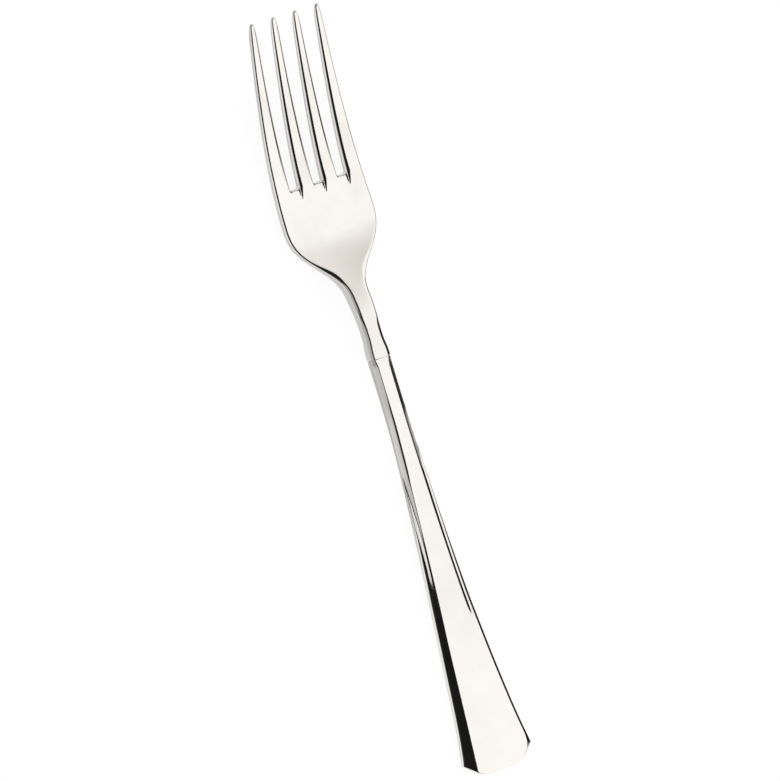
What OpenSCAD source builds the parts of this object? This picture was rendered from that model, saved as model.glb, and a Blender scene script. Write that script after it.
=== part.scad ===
// Serving fork: a forged head with tines and a tang, brazed to a slim hollow handle of two pressed shells.
// Lengths are in mm and run from the butt. The fork lies on its back on the plane z = 0, tines along +Y.

/* [Handle plan] */
// Handle length from the butt to the joint line at the neck
handle_l = 127.4; // [110:0.2:150]
// Width that the flare reaches at the butt
butt_w = 22.6; // [17:0.1:27]
// Width of the handle at its mouth
mouth_w = 6.3; // [5.6:0.1:7]
// Width of the flat front panel at the butt
panel_butt_w = 15.4; // [12:0.1:16]
// Width of the flat front panel at the mouth
panel_mouth_w = 3.4; // [2.4:0.1:4]
// How sharply the flare opens towards the butt
flare_power = 1.66; // [1.3:0.02:2]
// How far each side spreads further close to the butt
end_flare = 0.85; // [0.5:0.05:1.5]
// Length of the plain stretch below the mouth
mouth_l = 7.4; // [4:0.2:14]
// Length of the cut corners along the fork
corner_l = 3.8; // [2:0.1:6]
// Depth of the gentle curve of the butt's end
end_bow = 0.4; // [0.2:0.05:0.8]

/* [Handle section] */
// Handle thickness, front panel to back panel
handle_t = 4.4; // [4:0.1:6]
// Depth of the front shell, panel to seam
front_d = 2.2; // [1.9:0.1:2.6]
// Drop of the front bevels along the blade of the handle
bevel_drop = 0.45; // [0.2:0.05:0.8]
// How steeply the front bevels fall close to the panel, from the middle of the handle on
inner_steep = 0.56; // [0.4:0.02:0.7]
// How steeply they fall further up, where that inner part takes in nearly the whole bevel
upper_steep = 0.84; // [0.6:0.02:0.9]
// How steeply they fall at the mouth
mouth_steep = 0.65; // [0.5:0.01:0.75]
// Width of the chamfer along the outer edges
rim_w = 0.9; // [0.5:0.05:1.2]
// How steeply that chamfer falls
rim_fall = 0.5; // [0.4:0.02:0.8]
// Wall below the seam before the back bevels start
back_land = 0.3; // [0.25:0.05:0.5]
// The same wall at the mouth
mouth_land = 1.5; // [0.8:0.05:1.6]
// Sheet thickness of the shells
sheet_t = 0.55; // [0.4:0.05:0.7]

/* [Side profile] */
// Length of the handle that lies flat on the table
rest_l = 25; // [12:1:40]
// Height of the neck's front face over the table
neck_z = 10.8; // [9:0.1:15]
// Height of the tine tips
tip_z = 20; // [14:0.1:24]
// Share of the rise where the tines run out straight
tine_bend = 0.6; // [0.4:0.02:1]

/* [Head plan] */
// Length from the joint line to the shoulders
neck_l = 19.4; // [16:0.1:28]
// Length from the shoulders to the slot roots
palm_l = 34.8; // [29:0.1:42]
// Length of the tines from the slot roots
tine_l = 49.4; // [40:0.2:60]
// Number of tines
tine_n = 4; // [3:1:5]
// Narrowest width of the neck
neck_w = 5.52; // [5:0.02:7]
// Widest width of the head
head_w = 28.8; // [26:0.1:34]
// Width over the outer tines at the tips
spread_w = 22.5; // [20:0.1:25]
// How far the lip at the joint stands out from the neck
lip_h = 0.4; // [0.1:0.02:0.5]
// Slot width at the roots
slot_root_w = 3.2; // [2.4:0.05:3.8]
// Slot width at the tips
slot_tip_w = 5.1; // [4.2:0.05:5.2]
// Share by which the slots draw together at their roots
slot_draw = 0.06; // [0:0.01:0.1]
// Length of the ramp that each slot runs out in
ramp_l = 3.8; // [2.5:0.1:6]
// Depth of that ramp where it meets the slot
ramp_d = 0.6; // [0.4:0.05:1.3]
// Length of the pointed tine ends
tip_l = 6; // [3:0.1:9]

/* [Head section] */
// Thickness of the neck
neck_t = 4.5; // [3.8:0.1:5]
// How much deeper the neck gets where it bends into the palm
neck_keel = 1.1; // [0.4:0.1:1.4]
// Thickness of the palm at its rim
rim_t = 2.9; // [2.4:0.1:3.3]
// Thickness at the tine tips before their rounding
tip_t = 2.2; // [1.6:0.1:2.6]
// How far the front of the palm is dished
dish = 0.4; // [0.2:0.05:1]
// How far the back of the palm bellies out
belly = 1.2; // [0.7:0.05:1.5]
// Width of the bevel along the front edges
edge_w = 0.8; // [0.4:0.05:0.9]
// Drop of the bevel along the front edges
edge_h = 0.45; // [0.2:0.05:0.6]

/* [Tang and joint] */
// Length of the tang inside the handle
tang_l = 70; // [40:1:80]
// Width of the tang at the joint
tang_w = 3.2; // [2.6:0.1:3.6]
// Width of the tang at its end
tang_end_w = 2.4; // [2:0.1:2.6]
// Thickness of the tang
tang_t = 2; // [1.6:0.1:2.2]
// Thickness of the braze at the joint and along the seam
braze_t = 0.2; // [0.1:0.02:0.3]
// Clearance between the filler and what it holds
fit_gap = 0.03; // [0.02:0.01:0.06]

/* [Hidden] */
joint_y = handle_l;
shoulder_y = joint_y + neck_l;
root_y = shoulder_y + palm_l;
tip_y = root_y + tine_l;
apex_y = root_y - ramp_l;
flare_l = handle_l - mouth_l;
mouth_y = joint_y - braze_t;
crest_y = shoulder_y - 0.42 * neck_l;
dip_y = shoulder_y + 0.6 * palm_l;
rise_y = root_y - 0.23 * palm_l;
wide_y = shoulder_y + 0.64 * palm_l;
back_d = handle_t - front_d;
rim_z = rim_t + belly;

// General shapes of curves
function mix(a, b, t) = a + (b - a) * t;
function ease(t) = let (c = max(0, min(1, t))) c * c * (3 - 2 * c);
function swell(t) = 1 - pow(1 - pow(max(0, min(1, t)), 2.25), 5.9);
function bent(t) = (sqrt(1 + pow(t / tine_bend, 2)) - 1) / (sqrt(1 + pow(1 / tine_bend, 2)) - 1);
function steps(a, b, n) = [for (i = [0 : n]) mix(a, b, i / n)];

// Height of the front face along the fork: flat rest, rising handle, neck, bowl, tines
function front_z(y) =
    y < crest_y ? mix(handle_t, neck_z, ease((y - rest_l) / (crest_y - rest_l)))
    : y < rise_y ? mix(neck_z, rim_z, ease((y - crest_y) / (dip_y - crest_y)))
    : mix(rim_z, tip_z, bent((y - rise_y) / (tip_y - rise_y)));

// Handle sections: half-width, panel half-width and the heights of the bevels
function flare(y) = pow(max(0, 1 - y / flare_l), flare_power);
function flare_hw(y) = mix(mouth_w, butt_w, flare(y)) / 2;
function handle_hw(y) = flare_hw(y) + end_flare * pow(max(0, 1 - y / 21), 2.2);
function panel_hw(y) = mix(panel_mouth_w, panel_butt_w, flare(y)) / 2;
function corner_hw(y) = panel_butt_w / 2 - 0.5 + (y - end_bow) * (butt_w - panel_butt_w) / 2 / corner_l;
function end_hw(y) = (panel_butt_w / 2 - 0.5) * sqrt(max(0.2, y / end_bow));
function outer_hw(y) = min(handle_hw(y), y < end_bow ? end_hw(y) : corner_hw(y));
function base_fall(y) = let (b = min(y, 0.36 * handle_l)) bevel_drop / (flare_hw(b) - panel_hw(b));
function middle_fall(y) = mix(base_fall(y), inner_steep, ease((y / handle_l - 0.3) / 0.14));
function upper_fall(y) = mix(middle_fall(y), upper_steep, ease((y / handle_l - 0.48) / 0.12));
function inner_fall(y) = mix(upper_fall(y), mouth_steep, ease((y / handle_l - 0.72) / 0.2));
function land_at(y) = mix(back_land, mouth_land, ease((y / handle_l - 0.75) / 0.25));
function back_slope(y) = (back_d - land_at(y)) / (handle_hw(y) - panel_hw(y));
function seam_z(y) = front_z(y) - front_d;

// The front bevels are flat at the butt and bent along the middle, and the bend runs out towards the mouth
function bend_at(y) = mix(0.45, 0.92, ease((y / handle_l - 0.55) / 0.13));
function outer_fall(y) = base_fall(y) * mix(1, 0.25, ease((y / handle_l - 0.41) / 0.07));
function front_slope(y) = mix(outer_fall(y), inner_fall(y), bend_at(y));
function bend(y) = bend_at(y) * inner_fall(y) / front_slope(y);
function rim_at(y) = rim_w * mix(1, 0.15, ease((y / handle_l - 0.4) / 0.28));

// One bent line of a section, from the seam on the left over the panel to the seam on the right
function half_ring(y, flat_z, slope, bent_share, fall, seam) =
    let (hw = outer_hw(y), p = min(panel_hw(y), hw - 0.3), r = min(rim_at(y), 0.4 * (hw - p)), e = hw - r,
        k = mix(p, e, bend_at(y)), d = slope * (e - p), edge_z = flat_z - d, bend_z = flat_z - bent_share * d,
        wall_z = edge_z - fall * r)
    [[-hw, y, seam], [-hw, y, wall_z], [-e, y, edge_z], [-k, y, bend_z], [-p, y, flat_z],
        [p, y, flat_z], [k, y, bend_z], [e, y, edge_z], [hw, y, wall_z], [hw, y, seam]];

function front_ring(y) =
    half_ring(y, front_z(y), front_slope(y), bend(y), rim_fall, seam_z(y) + braze_t / 2);

function back_ring(y) = let (low = front_z(y) - handle_t, s = -back_slope(y))
    [for (q = half_ring(y, low, s, bend_at(y), s, seam_z(y) - braze_t / 2)) [-q.x, q.y, q.z]];

function seam_ring(y) = let (w = outer_hw(y), s = seam_z(y), h = braze_t / 2)
    [[-w, y, s - h], [-w, y, s + h], [w, y, s + h], [w, y, s - h]];

// The hollow inside the shells, drawn in by the sheet and by any clearance
function inner_hw(y, t) = min(handle_hw(y), corner_hw(y)) - 1.4 * t;
function hollow_ring(y, t) =
    let (w = inner_hw(y, t), p = min(panel_hw(y) - t / 3, w - 0.02),
        top = front_z(y) - t, low = front_z(y) - handle_t + t, k = mix(p, w, bend_at(y)),
        d = front_slope(y) * (w - p), low_edge = low + back_slope(y) * (w - p))
    [[-w, y, low_edge], [-w, y, top - d], [-k, y, top - bend(y) * d], [-p, y, top], [p, y, top],
        [k, y, top - bend(y) * d], [w, y, top - d], [w, y, low_edge], [p, y, low], [-p, y, low]];

// Stations along the handle: the curved end, the cut corners, the flat rest and the rising stretch
corner_y = end_bow + corner_l * 0.94;
shell_y = concat(steps(0, end_bow, 3), steps(corner_y, rest_l, 3),
    [for (y = steps(rest_l, mouth_y, 20)) if (y > rest_l) y]);
function hollow_y(t, last) =
    concat([end_bow + t, corner_y + t], [for (y = steps(corner_y + 1, last, 22)) if (y > corner_y + 1) y]);

// A closed loft through rings of equal counts
module loft(rings) {
    m = len(rings[0]);
    n = len(rings);
    sides = [for (i = [0 : n - 2], j = [0 : m - 1])
        let (k = (j + 1) % m, a = i * m + j, b = i * m + k, d = a + m, e = b + m)
        each [[b, a, d], [b, d, e]]];
    last = (n - 1) * m;
    caps = [for (j = [1 : m - 2]) each [[0, j, j + 1], [last, last + j + 1, last + j]]];
    polyhedron([for (ring = rings) each ring], concat(sides, caps), convexity = 6);
}

// Head plan: outline, slots and tines
function lip(y) = lip_h * ease(1 - (y - joint_y - 1) / 5.5);
function head_hw(y) =
    neck_w / 2 + lip(y) + 0.33 * ease((y - joint_y - 0.4 * neck_l) / (0.7 * neck_l))
    + ((head_w - neck_w) / 2 - 0.33) * swell((y - shoulder_y) / (0.83 * palm_l))
    - (head_w - spread_w) / 2 * pow(max(0, (y - wide_y) / (tip_y - wide_y)), 1.26);
function slot_w(y) =
    y > root_y ? mix(slot_root_w, slot_tip_w, (y - root_y) / tine_l)
    : slot_root_w * head_hw(y) / head_hw(root_y) * mix(1, 0.8, min(1, (root_y - y) / ramp_l));
function slot_draw_at(y) = 1 - slot_draw * (1 - pow(max(0, (y - root_y) / tine_l), 2));
function pitch(y) =
    (2 * head_hw(y) + (y > root_y ? slot_w(y) : slot_root_w * head_hw(y) / head_hw(root_y))) / tine_n
    * slot_draw_at(y);
function wall_l(k, y) = k == 0 ? -head_hw(y) : (k - tine_n / 2) * pitch(y) + slot_w(y) / 2;
function wall_r(k, y) = -wall_l(tine_n - 1 - k, y);
function tip_round(y) = let (t = (y - tip_y + tip_l) / tip_l) t <= 0 ? 1 : sqrt(max(0, 1 - pow(t, 2.4)));

// Head thickness and the bevels along its edges
function opening(y) = ease((y - apex_y) / ramp_l);
function slot_edge(y) =
    y < root_y ? ramp_d * pow(max(0, y - apex_y) / ramp_l, 1.3)
    : mix(ramp_d, edge_h, ease((y - root_y) / (0.2 * tine_l)));
function broad(y) = ease((y - shoulder_y) / (0.6 * palm_l));
function keel(y) = neck_keel * ease(1 - abs(y - shoulder_y - 3) / 14);
function rim_thick(y) =
    mix(mix(neck_t + 0.9 * lip(y), rim_t, broad(y)), tip_t, max(0, (y - root_y) / tine_l)) + keel(y);
function dish_at(y) = dish * broad(y) * mix(1, 0.6, max(0, (y - root_y) / tine_l));
function belly_at(y) = belly * broad(y) * mix(1, 0.15, max(0, (y - root_y) / tine_l));
function top_z(x, y) = front_z(y) + 0.3 * lip(y) - dish_at(y) * (1 - pow(x / head_hw(y), 2));
function low_z(x, y) =
    front_z(y) + 0.3 * lip(y) - rim_thick(y) - belly_at(y) * (1 - pow(x / head_hw(y), 2));
function rim_bevel_w(y) = mix(1, edge_w, broad(y));
function rim_bevel_h(y) = mix(1, edge_h, broad(y));

// Across each row a tine has five columns, and a slot has one on its centre line
columns = 6 * tine_n - 1;
function column_x(c, y) =
    let (k = floor(c / 6), place = c % 6, left = wall_l(k, y), right = wall_r(k, y), w = right - left,
        most = mix(0.8, 0.36, opening(y)) * w, inner = min(edge_w, mix(0.15, 0.36, opening(y)) * w),
        cut_l = k == 0 ? min(rim_bevel_w(y), most) : inner,
        cut_r = k == tine_n - 1 ? min(rim_bevel_w(y), most) : inner,
        places = [left, left + cut_l, (left + cut_l + right - cut_r) / 2, right - cut_r, right,
            right + slot_w(y) / 2],
        x = places[place], mid = (left + right) / 2)
    mid + (x - mid) * mix(0.25, 1, tip_round(y));

function edge_drop(c, y) =
    let (place = c % 6, rim = c == 0 || c == columns - 1, f = mix(0.4, 1, tip_round(y)))
    rim ? rim_bevel_h(y) * f : place == 0 || place > 3 ? slot_edge(y) * f : 0;
function back_lift(c, y) =
    let (place = c % 6, rim = c == 0 || c == columns - 1, f = mix(0.4, 1, tip_round(y)))
    rim ? rim_bevel_h(y) * f : place == 0 || place == 4 ? edge_h * opening(y) * f : 0;

function head_point(c, y, top) =
    let (x = column_x(c, y), hi = top_z(x, y) - edge_drop(c, y), lo = low_z(x, y) + back_lift(c, y),
        mid = (hi + lo) / 2, f = mix(0.35, 1, tip_round(y)))
    [x, y, mid + ((top ? hi : lo) - mid) * f];

// The tang follows the middle of the handle's hollow
function tang_hw(y) = mix(tang_w, tang_end_w, (joint_y - y) / tang_l) / 2;
function tang_mid(y) = front_z(y) - handle_t / 2;
function tang_point(c, y, top) =
    [tang_hw(y) * (2 * c / (columns - 1) - 1), y, tang_mid(y) + (top ? 1 : -1) * tang_t / 2];

tang_y = steps(joint_y - tang_l, joint_y, 9);
head_y = concat(steps(joint_y, joint_y + 7, 6), steps(joint_y + 9, shoulder_y, 6),
    steps(shoulder_y + 1.4, wide_y, 15), steps(wide_y + 1.6, apex_y, 5),
    steps(apex_y + ramp_l / 3, root_y, 2), steps(root_y + 1.5, tip_y - tip_l, 16),
    [for (t = [0.25, 0.45, 0.63, 0.78, 0.9, 0.97, 1]) tip_y - tip_l * (1 - t)]);

// One closed skin over tang, neck, palm and tines, with cells left out where the slots are open
module fork_head() {
    rows_n = len(tang_y) + len(head_y);
    row_y = concat(tang_y, head_y);
    sheet_n = rows_n * columns;
    points = [for (top = [true, false], r = [0 : rows_n - 1], c = [0 : columns - 1])
        r < len(tang_y) ? tang_point(c, row_y[r], top) : head_point(c, row_y[r], top)];
    here = function(r, c) r >= 0 && r < rows_n - 1 && c >= 0 && c < columns - 1
        && (c % 6 < 4 || row_y[r + 1] < root_y + 0.01);
    faces = [for (r = [0 : rows_n - 2], c = [0 : columns - 2]) if (here(r, c))
        let (a = r * columns + c, b = a + 1, e = a + columns, d = e + 1,
            a2 = a + sheet_n, b2 = b + sheet_n, e2 = e + sheet_n, d2 = d + sheet_n)
        each concat(
            [[a, e, d], [a, d, b], [a2, b2, d2], [a2, d2, e2]],
            here(r, c - 1) ? [] : [[a, a2, e2], [a, e2, e]],
            here(r, c + 1) ? [] : [[b, d, d2], [b, d2, b2]],
            here(r - 1, c) ? [] : [[a, b, b2], [a, b2, a2]],
            here(r + 1, c) ? [] : [[e, e2, d2], [e, d2, d]])];
    color("silver") polyhedron(points, faces, convexity = 10);
}

// The space that the tang takes up, grown by a clearance
module tang_space(gap) {
    inner_y = [for (y = tang_y) if (y > joint_y - tang_l + 1) y];
    loft([for (y = concat([joint_y - tang_l - gap], inner_y, [joint_y + 1]))
        let (w = tang_hw(y) + gap, h = tang_t / 2 + gap, z = tang_mid(y))
        [[-w, y, z - h], [-w, y, z + h], [w, y, z + h], [w, y, z - h]]]);
}

module hollow(t, last) {
    loft([for (y = hollow_y(t, last)) hollow_ring(y, t)]);
}

module handle_front_shell() {
    color("gainsboro") difference() {
        loft([for (y = shell_y) front_ring(y)]);
        hollow(sheet_t, mouth_y + 1);
    }
}

module handle_back_shell() {
    color("lightgray") difference() {
        loft([for (y = shell_y) back_ring(y)]);
        hollow(sheet_t, mouth_y + 1);
    }
}

// Braze that joins the two shells all round their seam
module seam_braze() {
    color("darkgray") difference() {
        loft([for (y = shell_y) seam_ring(y)]);
        hollow(sheet_t, mouth_y + 1);
    }
}

// Hard filler that fills the hollow and grips the tang
module handle_filler() {
    color("tan") difference() {
        hollow(sheet_t + fit_gap, mouth_y);
        tang_space(fit_gap);
    }
}

// Braze between the lip of the head and the mouth of the handle
module joint_braze() {
    inset = 0.12;
    color("dimgray") difference() {
        loft([for (y = [mouth_y, joint_y]) hollow_ring(y, inset)]);
        tang_space(fit_gap);
    }
}

translate([0, -tip_y / 2, 0]) {
    fork_head();
    handle_front_shell();
    handle_back_shell();
    handle_filler();
    seam_braze();
    joint_braze();
}
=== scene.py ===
"""Looks of a polished steel serving fork: head, hollow handle, braze lines and a plain studio.

Lengths are in millimetres and run from the butt, as in the part's own drawing. A mesh is moved into the
shared frame and turned into metres only when it becomes a piece.
"""

from __future__ import annotations

import logging
import math
from dataclasses import dataclass
from enum import Enum
from typing import NamedTuple

import bpy
import numpy as np
from mathutils import Matrix, Vector

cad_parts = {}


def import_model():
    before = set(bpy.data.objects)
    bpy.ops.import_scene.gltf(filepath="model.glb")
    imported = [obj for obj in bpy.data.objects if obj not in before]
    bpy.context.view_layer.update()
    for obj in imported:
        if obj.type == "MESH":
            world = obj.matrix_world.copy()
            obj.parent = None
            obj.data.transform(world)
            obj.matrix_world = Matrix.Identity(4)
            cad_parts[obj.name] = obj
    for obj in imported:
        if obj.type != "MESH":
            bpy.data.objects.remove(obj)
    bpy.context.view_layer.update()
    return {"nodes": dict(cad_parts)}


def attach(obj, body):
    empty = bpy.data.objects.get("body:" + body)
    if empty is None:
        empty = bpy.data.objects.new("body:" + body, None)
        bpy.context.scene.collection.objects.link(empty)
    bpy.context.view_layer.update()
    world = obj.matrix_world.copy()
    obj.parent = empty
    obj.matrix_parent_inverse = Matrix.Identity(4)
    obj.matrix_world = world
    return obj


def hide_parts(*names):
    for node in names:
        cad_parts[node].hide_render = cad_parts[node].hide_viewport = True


LOG = logging.getLogger("serving_fork")
MM = 0.001
IMAGE_W = 780

# Angle of a sharp edge, digits that tell points apart, and a distance that counts as none
SHARP_DEG = 38.0
WELD_DIGITS = 5
TOUCH = 1e-6

# Roll of the lip and of the mouth where they meet, and how fast the edge measure fades
TUCK_R = 0.03
EDGE_FADE = 0.3
BEAD_EDGE = 0.5

Array = np.ndarray
Colour = tuple[float, float, float]
Span = tuple[float, float]


class Slot(Enum):
    """Material slots of the record."""

    HEAD = "head_steel"
    SHELL = "shell_steel"
    BRAZE = "braze"


class Side(Enum):
    """The two halves of the handle."""

    FRONT = 1
    BACK = -1


# Curves


def mix(a: Array | float, b: Array | float, t: Array | float) -> Array | float:
    """A straight blend from a to b."""
    return a + (b - a) * t


def ease(t: Array | float) -> Array:
    """A blend from 0 to 1 that starts and ends level."""
    c = np.clip(t, 0.0, 1.0)
    return c * c * (3.0 - 2.0 * c)


class Stretch(NamedTuple):
    """A stretch over which something changes, by where it starts and how long it is."""

    start: float
    length: float

    def at(self, t: Array | float) -> Array:
        """How far along the stretch t is, from 0 to 1, level at both ends."""
        return ease((t - self.start) / self.length)


def bell(d: Array, width: float) -> Array:
    """1 at distance 0, falling smoothly to nearly 0 at twice the width."""
    return np.exp(-((d / width) ** 2))


def ramp(d: Array | float, soft: Array | float) -> Array:
    """Zero below 0 and d above it, with a rounded knee of width soft."""
    return (d + np.sqrt(d * d + soft * soft)) / 2.0


def roll(e: Array, radius: Array | float) -> Array:
    """Drop of a quarter-round edge at distance e from its wall: radius at the wall, 0 past the round."""
    inside = np.clip(1.0 - e / radius, 0.0, 1.0)
    return radius * (1.0 - np.sqrt(1.0 - inside * inside))


def round_steps(count: int) -> Array:
    """Distances from the wall, as shares of the radius, that divide a quarter round evenly by angle."""
    return 1.0 - np.sin(np.linspace(0.5 * math.pi, 0.0, count))


def stations(start: float, *spans: tuple[float, int]) -> Array:
    """Even steps along joined spans.

    Args:
        start: where the first span starts.
        spans: the end of each span and its number of steps.

    Returns:
        All stations, each once.
    """
    parts = [np.array([start])]
    for end, count in spans:
        parts.append(np.linspace(parts[-1][-1], end, count + 1)[1:])
    return np.concatenate(parts)


# Meshes


@dataclass
class Skin:
    """Points and faces of a closed surface, with two measures of each point.

    edge is 1 at an edge and falls to 0 away from it. The second measure, painted_shade, is painted shade: 0
    on the front, 1 on the back and between on the walls.
    """

    points: Array
    faces: list[tuple[int, ...]]
    edge: Array
    painted_shade: Array


def weld(points: Array, quads: Array, edge: Array, painted_shade: Array) -> Skin:
    """Joins points that coincide and drops the faces that this flattens.

    Args:
        points: positions, one row each.
        quads: four point numbers a face.
        edge: how near each point is to an edge.
        painted_shade: how much painted shade each point gets.

    Returns:
        The closed skin.
    """
    near = np.round(points, WELD_DIGITS)
    _, first, back = np.unique(near, axis=0, return_index=True, return_inverse=True)
    quads = back.reshape(-1)[quads]
    same = quads == np.roll(quads, -1, axis=1)
    joined = same.sum(axis=1)
    whole = quads[joined == 0]
    whole = whole[(whole[:, 0] != whole[:, 2]) & (whole[:, 1] != whole[:, 3])]
    triangles = quads[joined == 1][~same[joined == 1]].reshape(-1, 3)
    distinct = (triangles != np.roll(triangles, -1, axis=1)).all(axis=1)
    faces = [tuple(f) for part in (whole, triangles[distinct]) for f in part.tolist()]
    return Skin(points[first], faces, edge[first], painted_shade[first])


def sandwich(top: Array, low: Array, edge: Array, painted_shade: tuple[Array, Array],
             present: Array | None = None) -> Skin:
    """A closed skin from two sheets of points on one grid, walled all round and round every gap.

    Args:
        top: upper sheet, rows by columns by 3. Columns run along +X and rows along +Y.
        low: lower sheet on the same grid.
        edge: edge measure of each grid place.
        painted_shade: how much painted shade each place of the two sheets gets.
        present: which cells of the grid are solid. All of them where it is left out.

    Returns:
        The welded skin, with its faces outwards.
    """
    rows, cols = top.shape[:2]
    cells = np.ones((rows - 1, cols - 1), bool) if present is None else present
    number = np.arange(rows * cols).reshape(rows, cols)
    a, b, d, e = number[:-1, :-1], number[:-1, 1:], number[1:, 1:], number[1:, :-1]
    below = rows * cols
    ringed = np.pad(cells, 1)

    def pick(mask: Array, *corners: Array) -> Array:
        """The masked cells' corners as rows of four point numbers."""
        return np.stack([c[mask] for c in corners], axis=1)

    quads = np.concatenate([
        pick(cells, a, b, d, e),
        pick(cells, a + below, e + below, d + below, b + below),
        pick(cells & ~ringed[1:-1, :-2], a, e, e + below, a + below),
        pick(cells & ~ringed[1:-1, 2:], b, b + below, d + below, d),
        pick(cells & ~ringed[:-2, 1:-1], a, a + below, b + below, b),
        pick(cells & ~ringed[2:, 1:-1], e, d, d + below, e + below),
    ])
    points = np.concatenate([top.reshape(-1, 3), low.reshape(-1, 3)])
    painted_shade_level = np.concatenate([u.reshape(-1) for u in painted_shade])
    return weld(points, quads, np.tile(edge.reshape(-1), 2), painted_shade_level)


def tube(grid: Array, closed: bool, painted_shade: Array) -> Skin:
    """A closed skin from rings of points carried along a path.

    Args:
        grid: rings by points of a ring by 3. A ring runs anticlockwise seen against the path.
        closed: whether the last ring meets the first. Where it doesn't, both ends get a cap.
        painted_shade: how much painted shade each ring gets.

    Returns:
        The skin, with its faces outwards.
    """
    rings, count = grid.shape[:2]
    number = np.arange(rings * count).reshape(rings, count)
    lower = number if closed else number[:-1]
    upper = np.roll(number, -1, axis=0) if closed else number[1:]
    quads = np.stack([lower, np.roll(lower, -1, axis=1), np.roll(upper, -1, axis=1), upper], axis=-1)
    faces = [tuple(f) for f in quads.reshape(-1, 4).tolist()]
    if not closed:
        faces += [tuple(number[0, ::-1].tolist()), tuple(number[-1].tolist())]
    return Skin(grid.reshape(-1, 3), faces, np.full(rings * count, BEAD_EDGE), np.repeat(painted_shade, count))


def make_piece(name: str, skin: Skin, length: float, node: str,
               finish: bpy.types.Material) -> None:
    """Turns a skin into a piece of the object, in the shared frame.

    Args:
        name: the piece's name.
        skin: its surface, in millimetres from the butt.
        length: the fork's length, whose middle is the frame's origin.
        node: the solid that it stands for.
        finish: its material.
    """
    mesh = bpy.data.meshes.new(name)
    placed = (skin.points - np.array([0.0, length / 2.0, 0.0])) * MM
    mesh.from_pydata(placed.tolist(), [], skin.faces)
    mesh.polygons.foreach_set("use_smooth", np.ones(len(mesh.polygons), bool))
    mesh.set_sharp_from_angle(angle=math.radians(SHARP_DEG))
    # Each point carries its edge measure and its painted shade, which the metals darken by.
    for name_of, values in (("edge", skin.edge), ("painted_shade", skin.painted_shade)):
        measure = mesh.attributes.new(name_of, "FLOAT", "POINT")
        measure.data.foreach_set("value", values.astype(np.float32))
    mesh.materials.append(finish)
    mesh.validate()
    piece = bpy.data.objects.new(name, mesh)
    bpy.context.scene.collection.objects.link(piece)
    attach(piece, "root")
    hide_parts(node)
    LOG.info("%s: %d points, %d faces", name, len(mesh.vertices), len(mesh.polygons))


# Finishes


class Nodes:
    """A node tree that is filled one node at a time."""

    def __init__(self, tree: bpy.types.NodeTree) -> None:
        """Starts on an empty tree."""
        self.tree = tree
        tree.nodes.clear()

    def add(self, kind: str, inputs: dict[str | int, object] | None = None,
            **settings: object) -> bpy.types.Node:
        """Adds a node.

        Args:
            kind: the node's type name.
            inputs: a socket to link from, or a plain value, for each input by name or number.
            settings: properties of the node itself.

        Returns:
            The new node.
        """
        node = self.tree.nodes.new(kind)
        for key, value in settings.items():
            setattr(node, key, value)
        for key, value in (inputs or {}).items():
            if isinstance(value, bpy.types.NodeSocket):
                self.tree.links.new(value, node.inputs[key])
            else:
                node.inputs[key].default_value = value
        return node

    def maths(self, operation: str, *values: object) -> bpy.types.NodeSocket:
        """The result of one step of arithmetic on sockets or numbers."""
        return self.add("ShaderNodeMath", dict(enumerate(values)), operation=operation).outputs[0]

    def span(self, value: bpy.types.NodeSocket, low: float, high: float, start: float = 0.0,
             end: float = 1.0) -> bpy.types.NodeSocket:
        """A smooth change from start to end as value goes from low to high."""
        inputs = {"Value": value, "From Min": low, "From Max": high, "To Min": start, "To Max": end}
        return self.add("ShaderNodeMapRange", inputs, interpolation_type="SMOOTHSTEP").outputs["Result"]

    def drop(self, value: bpy.types.NodeSocket, low: float, high: float) -> bpy.types.NodeSocket:
        """A smooth change from 1 to 0 as value goes from low to high."""
        return self.span(value, low, high, 1.0, 0.0)

    def blend(self, share: object, first: object, second: object,
              mode: str = "MIX") -> bpy.types.NodeSocket:
        """Two colours blended by a share."""
        inputs = {0: share, 6: first, 7: second}
        return self.add("ShaderNodeMix", inputs, data_type="RGBA", blend_type=mode).outputs[2]

    def ramp(self, value: bpy.types.NodeSocket, stops: list[Span]) -> bpy.types.NodeSocket:
        """A line of grey values over a range from 0 to 1, straight between its stops.

        Args:
            value: the socket that is looked up.
            stops: places from 0 to 1, each with its level.

        Returns:
            The grey value.
        """
        node = self.add("ShaderNodeValToRGB", {"Fac": value})
        band = node.color_ramp
        while len(band.elements) < len(stops):
            band.elements.new(1.0)
        for element, (place, level) in zip(band.elements, stops):
            element.position = place
            element.color = (level, level, level, 1.0)
        return node.outputs["Color"]


def solid(colour: Colour) -> tuple[float, float, float, float]:
    """A colour with full cover."""
    return (*colour, 1.0)


def new_material(name: str) -> tuple[bpy.types.Material, Nodes]:
    """A material and its tree, still empty.

    Args:
        name: the material's name.

    Returns:
        The material and the filler of its tree.
    """
    made = bpy.data.materials.new(name)
    made.use_nodes = True
    return made, Nodes(made.node_tree)


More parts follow.
